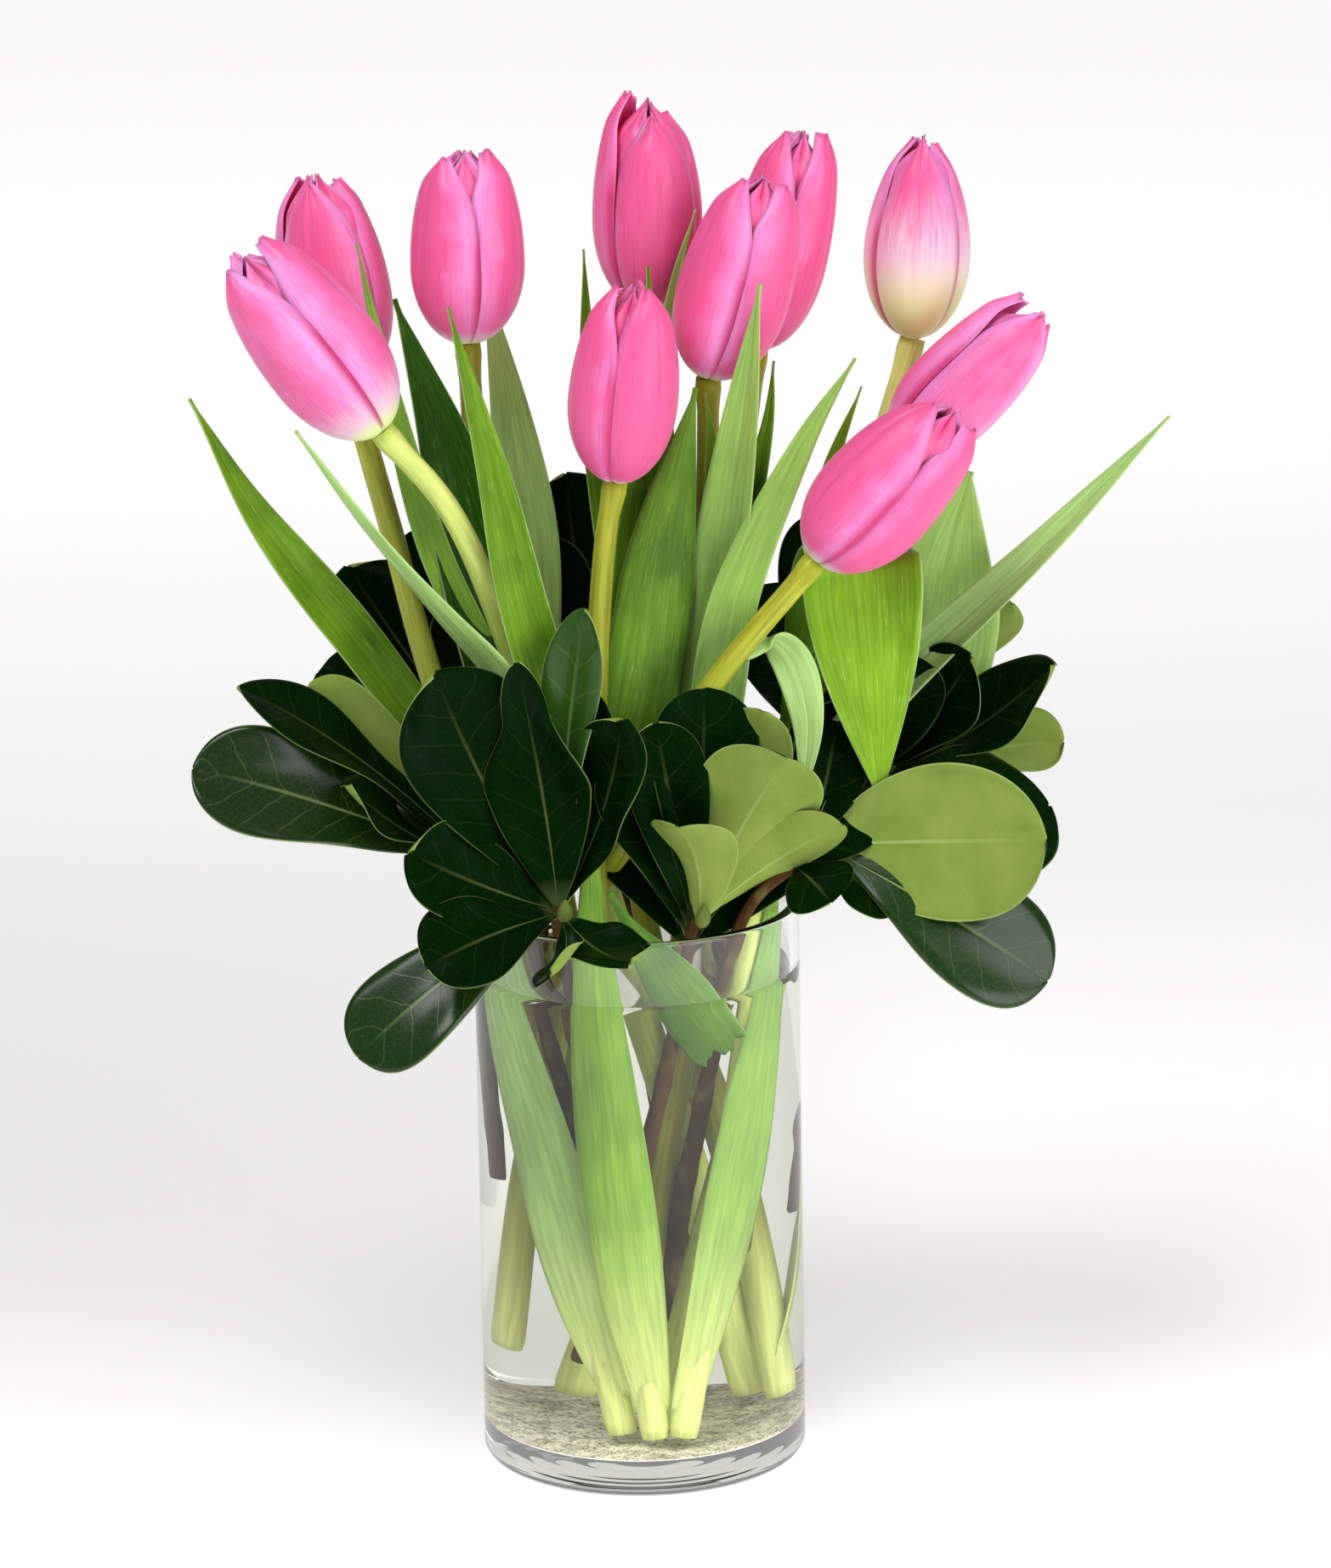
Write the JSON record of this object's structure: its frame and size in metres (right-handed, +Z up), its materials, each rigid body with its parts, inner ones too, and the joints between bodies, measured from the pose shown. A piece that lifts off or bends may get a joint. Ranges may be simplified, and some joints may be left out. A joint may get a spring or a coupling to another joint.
{
  "type": "tulips in a vase",
  "caption": "Clear glass cylinder vase with water, holding pink tulips on leafy green stems and sprays of blunt-leaved evergreen foliage.",
  "frame": {"origin": "middle of the vase's foot, on the surface that the vase stands on", "axes": "+Z up along the vase's axis, -Y is the front that the picture sees, +X is to the right"},
  "size_m": [0.3036, 0.1828, 0.4307],
  "materials": {
    "clear_glass": "polished",
    "water": "polished",
    "silt": "matte",
    "petal_pink": "satin",
    "tulip_green": "satin",
    "foliage_green": "gloss"
  },
  "bodies": {
    "root": {"vase": "clear_glass", "water": "water", "silt": "silt", "tulip_bloom_1": "petal_pink", "tulip_bloom_2": "petal_pink", "tulip_bloom_3": "petal_pink", "tulip_bloom_4": "petal_pink", "tulip_bloom_5": "petal_pink", "tulip_bloom_6": "petal_pink", "tulip_bloom_7": "petal_pink", "tulip_bloom_8": "petal_pink", "tulip_bloom_9": "petal_pink", "tulip_bloom_10": "petal_pink", "tulip_stem_1": "tulip_green", "tulip_stem_2": "tulip_green", "tulip_stem_3": "tulip_green", "tulip_stem_4": "tulip_green", "tulip_stem_5": "tulip_green", "tulip_stem_6": "tulip_green", "tulip_stem_7": "tulip_green", "tulip_stem_8": "tulip_green", "tulip_stem_9": "tulip_green", "tulip_stem_10": "tulip_green", "leaf_strip": "tulip_green", "foliage_1": "foliage_green", "foliage_2": "foliage_green", "foliage_3": "foliage_green", "foliage_4": "foliage_green", "foliage_5": "foliage_green", "foliage_6": "foliage_green", "foliage_7": "foliage_green", "foliage_8": "foliage_green"}
  },
  "joints": []
}
